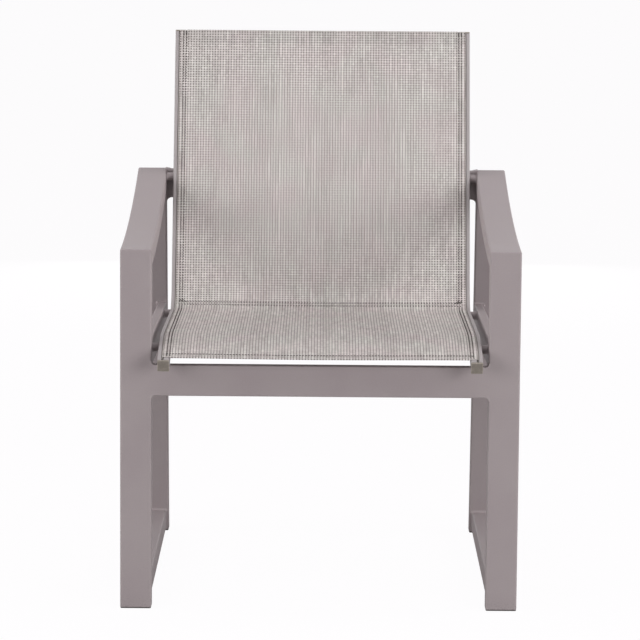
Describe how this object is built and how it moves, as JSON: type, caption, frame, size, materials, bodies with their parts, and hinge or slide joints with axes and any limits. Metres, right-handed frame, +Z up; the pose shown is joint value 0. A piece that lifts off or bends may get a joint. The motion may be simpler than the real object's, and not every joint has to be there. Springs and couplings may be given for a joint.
{
  "type": "sling patio chair",
  "caption": "Patio dining armchair with a taupe powder-coated tubular metal frame, sled-style side frames and a woven mesh sling seat and back",
  "frame": {"origin": "On the floor, in the middle of the chair's width and of its overall depth", "axes": "+Z is up, +Y points from the front of the seat to the back, and +X is the sitter's left"},
  "size_m": [0.64, 0.7096, 0.902],
  "materials": {
    "frame_coat": "satin",
    "sling_mesh": "matte",
    "cap_plastic": "matte",
    "spline": "matte",
    "glide_plastic": "matte",
    "hardware": "satin"
  },
  "bodies": {
    "root": {"back_sling": "sling_mesh", "front_crossbar": "frame_coat", "left_arm": "frame_coat", "left_back_spline": "spline", "left_floor_rail": "frame_coat", "left_front_bolt": "hardware", "left_front_cap": "cap_plastic", "left_front_glide": "glide_plastic", "left_front_leg": "frame_coat", "left_front_nut": "hardware", "left_front_spacer": "frame_coat", "left_rear_bolt": "hardware", "left_rear_glide": "glide_plastic", "left_rear_leg": "frame_coat", "left_rear_nut": "hardware", "left_rear_spacer": "frame_coat", "left_seat_spline": "spline", "left_side_rail": "frame_coat", "left_sling_rail": "frame_coat", "left_top_cap": "cap_plastic", "left_upper_bolt": "hardware", "left_upper_nut": "hardware", "left_upper_spacer": "frame_coat", "rear_crossbar": "frame_coat", "right_arm": "frame_coat", "right_back_spline": "spline", "right_floor_rail": "frame_coat", "right_front_bolt": "hardware", "right_front_cap": "cap_plastic", "right_front_glide": "glide_plastic", "right_front_leg": "frame_coat", "right_front_nut": "hardware", "right_front_spacer": "frame_coat", "right_rear_bolt": "hardware", "right_rear_glide": "glide_plastic", "right_rear_leg": "frame_coat", "right_rear_nut": "hardware", "right_rear_spacer": "frame_coat", "right_seat_spline": "spline", "right_side_rail": "frame_coat", "right_sling_rail": "frame_coat", "right_top_cap": "cap_plastic", "right_upper_bolt": "hardware", "right_upper_nut": "hardware", "right_upper_spacer": "frame_coat", "seat_sling": "sling_mesh"}
  },
  "joints": []
}
